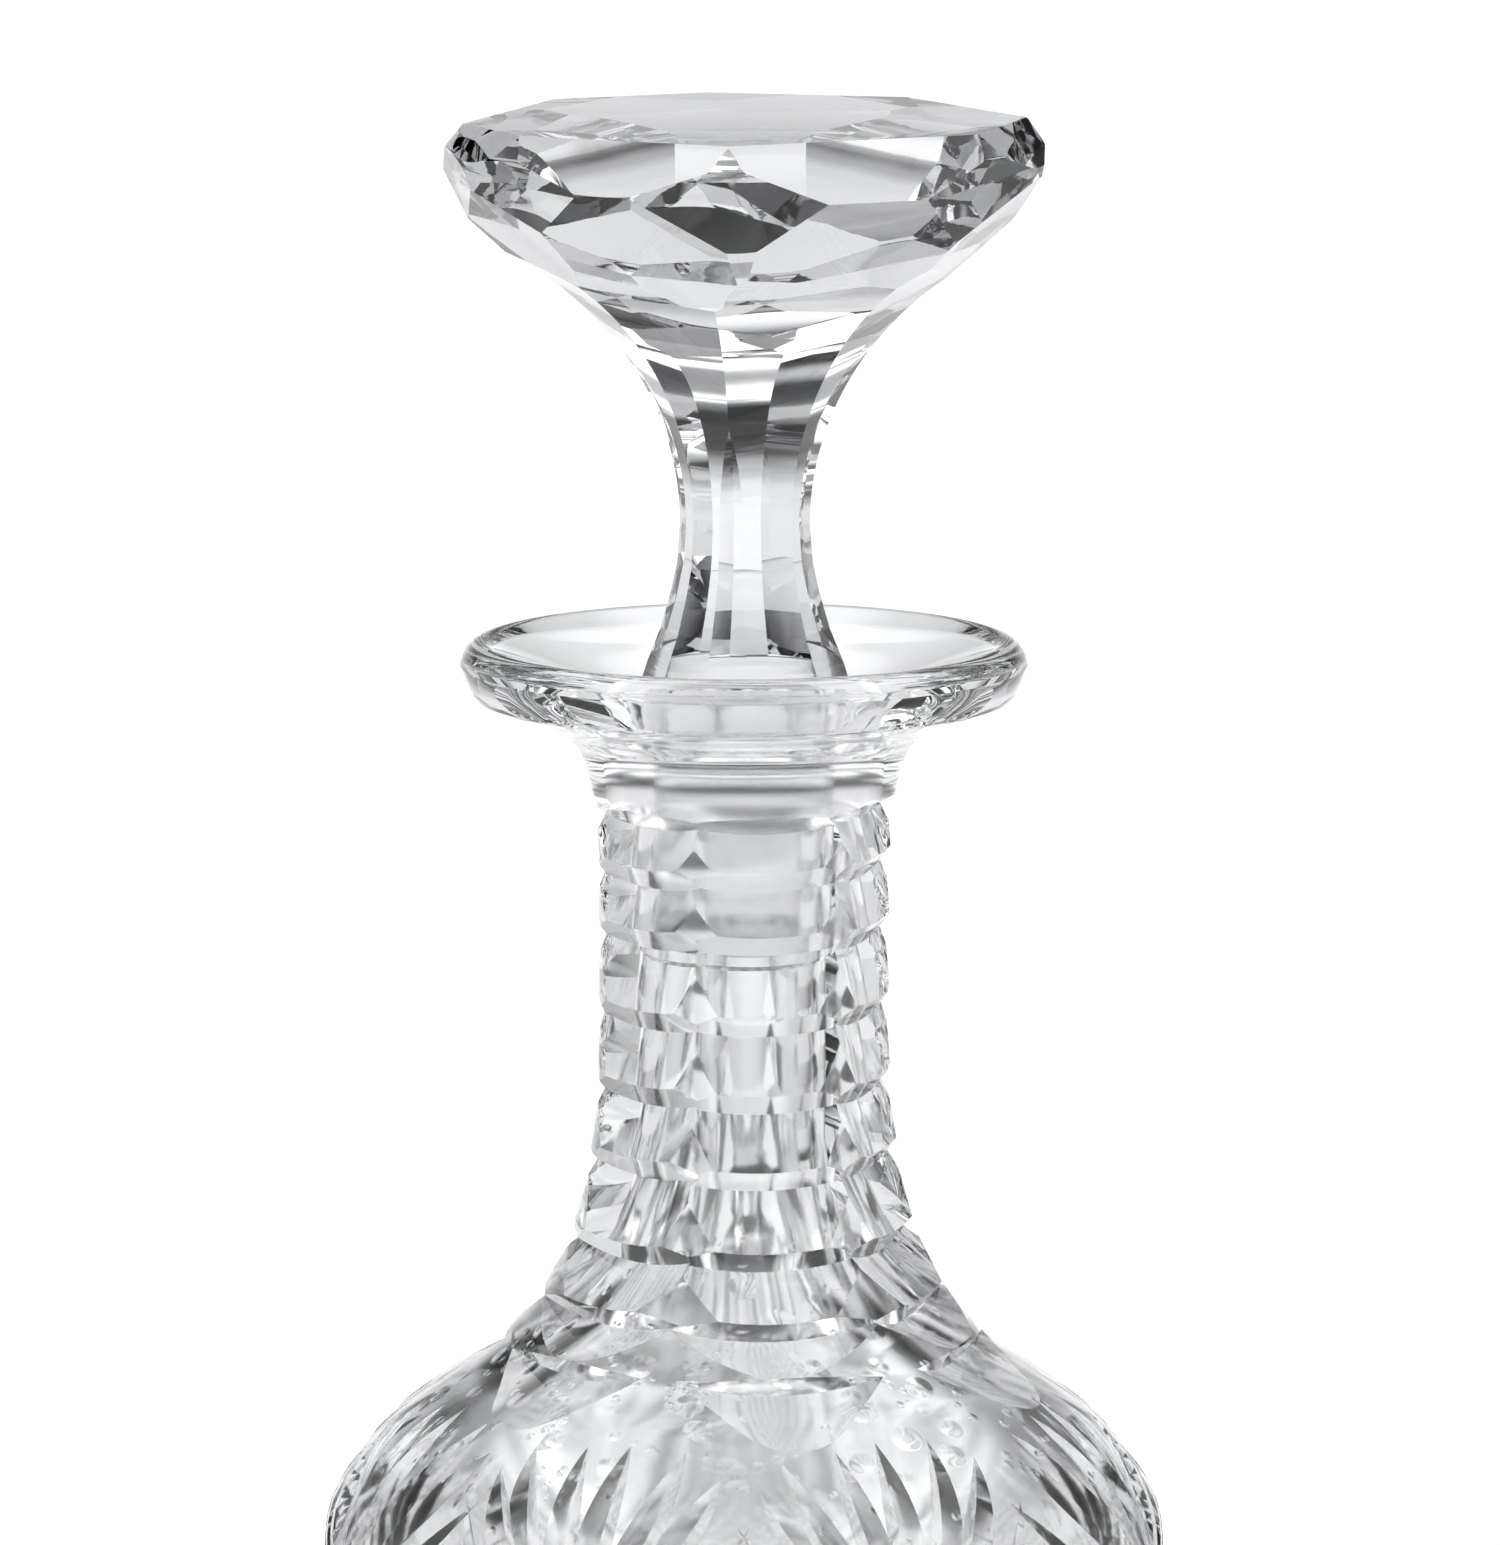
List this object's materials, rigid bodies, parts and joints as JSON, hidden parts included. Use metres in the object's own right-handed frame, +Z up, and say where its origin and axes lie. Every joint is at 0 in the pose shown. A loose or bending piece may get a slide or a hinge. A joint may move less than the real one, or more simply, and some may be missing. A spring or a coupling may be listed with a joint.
{
  "type": "cut crystal decanter",
  "caption": "Cut crystal bottle for spirits with a flared lip, a stepped neck and a lift-out faceted stopper with a ground plug.",
  "frame": {"origin": "centre of the foot ring, on the plane it rests on", "axes": "+Z up along the bottle's axis, -Y towards the front"},
  "size_m": [0.0976, 0.0976, 0.2561],
  "materials": {
    "crystal": "polished lead crystal, clear, with the seat in the mouth ground",
    "stopper_crystal": "polished lead crystal, clear, with the plug ground"
  },
  "bodies": {
    "bottle": {"decanter_body": "crystal"},
    "stopper": {"stopper": "stopper_crystal"}
  },
  "joints": [
    {"name": "stopper_lift", "type": "slide", "parent": "bottle", "child": "stopper", "axis": [0, 0, 1], "range_m": [0, 0.06]}
  ]
}
